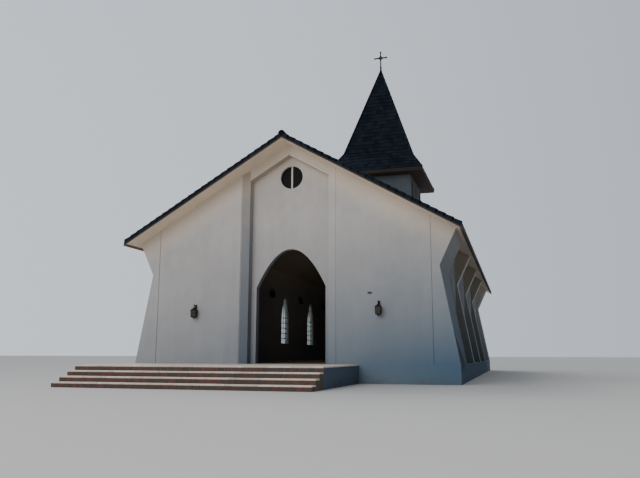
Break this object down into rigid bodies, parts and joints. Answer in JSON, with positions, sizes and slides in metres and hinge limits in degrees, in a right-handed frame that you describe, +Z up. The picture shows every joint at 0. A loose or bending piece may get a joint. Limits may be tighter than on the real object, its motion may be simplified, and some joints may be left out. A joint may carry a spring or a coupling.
{
  "type": "small chapel",
  "caption": "Gable-fronted chapel with waisted buttress fins, lancet windows, a pointed entrance arch, a bell-cast spire on the ridge and a wide flight of steps",
  "frame": {"origin": "centre of the overall box, on the ground at the foot of the steps", "axes": "X across the front with the wider end of the steps at -X, Y from the steps to the rear gable, Z up"},
  "size_m": [12.38, 28.296, 20.518],
  "materials": {
    "stucco": "matt cream render, lightly trowelled",
    "soffit": "matt off-white plaster under the roof",
    "roof_tile": "charcoal interlocking tiles, slightly rough",
    "fascia": "red-brown stained board",
    "spire_boards": "brown stained boards",
    "paving": "pale honed stone",
    "riser_brick": "red-brown brick tiles with pale joints",
    "window_glass": "clear glass",
    "bar_paint": "white paint",
    "iron": "weathered dark wrought iron",
    "lantern_metal": "dark bronze paint"
  },
  "bodies": {
    "root": {"entrance_arch": "stucco", "gable_head": "stucco", "rear_wall": "stucco", "belfry_front": "stucco", "belfry_rear": "stucco", "podium": "stucco", "landing": "stucco", "front_wall_right": "stucco", "front_wall_left": "stucco", "pilaster_right": "stucco", "pilaster_left": "stucco", "entrance_jamb_right": "stucco", "entrance_jamb_left": "stucco", "side_wall_right": "stucco", "side_wall_left": "stucco", "front_pier_right": "stucco", "front_pier_left": "stucco", "fins_right": "stucco", "fins_left": "stucco", "rear_pier_right": "stucco", "rear_pier_left": "stucco", "belfry_right": "stucco", "belfry_left": "stucco", "roof_deck_right": "soffit", "roof_deck_left": "soffit", "roof_tiles_right": "roof_tile", "roof_tiles_left": "roof_tile", "ridge_cap": "roof_tile", "spire_skirt": "roof_tile", "spire": "roof_tile", "eave_board_right": "fascia", "eave_board_left": "fascia", "front_bargeboard": "fascia", "rear_bargeboard": "fascia", "spire_soffit": "spire_boards", "landing_paving": "paving", "tread_1": "paving", "tread_2": "paving", "tread_3": "paving", "step_risers": "riser_brick", "window_glass_right": "window_glass", "window_glass_left": "window_glass", "round_window_glass": "window_glass", "round_window_bars": "bar_paint", "cross": "iron", "lantern_left": "lantern_metal", "lantern_right": "lantern_metal", "nave_lanterns": "lantern_metal"}
  },
  "joints": []
}
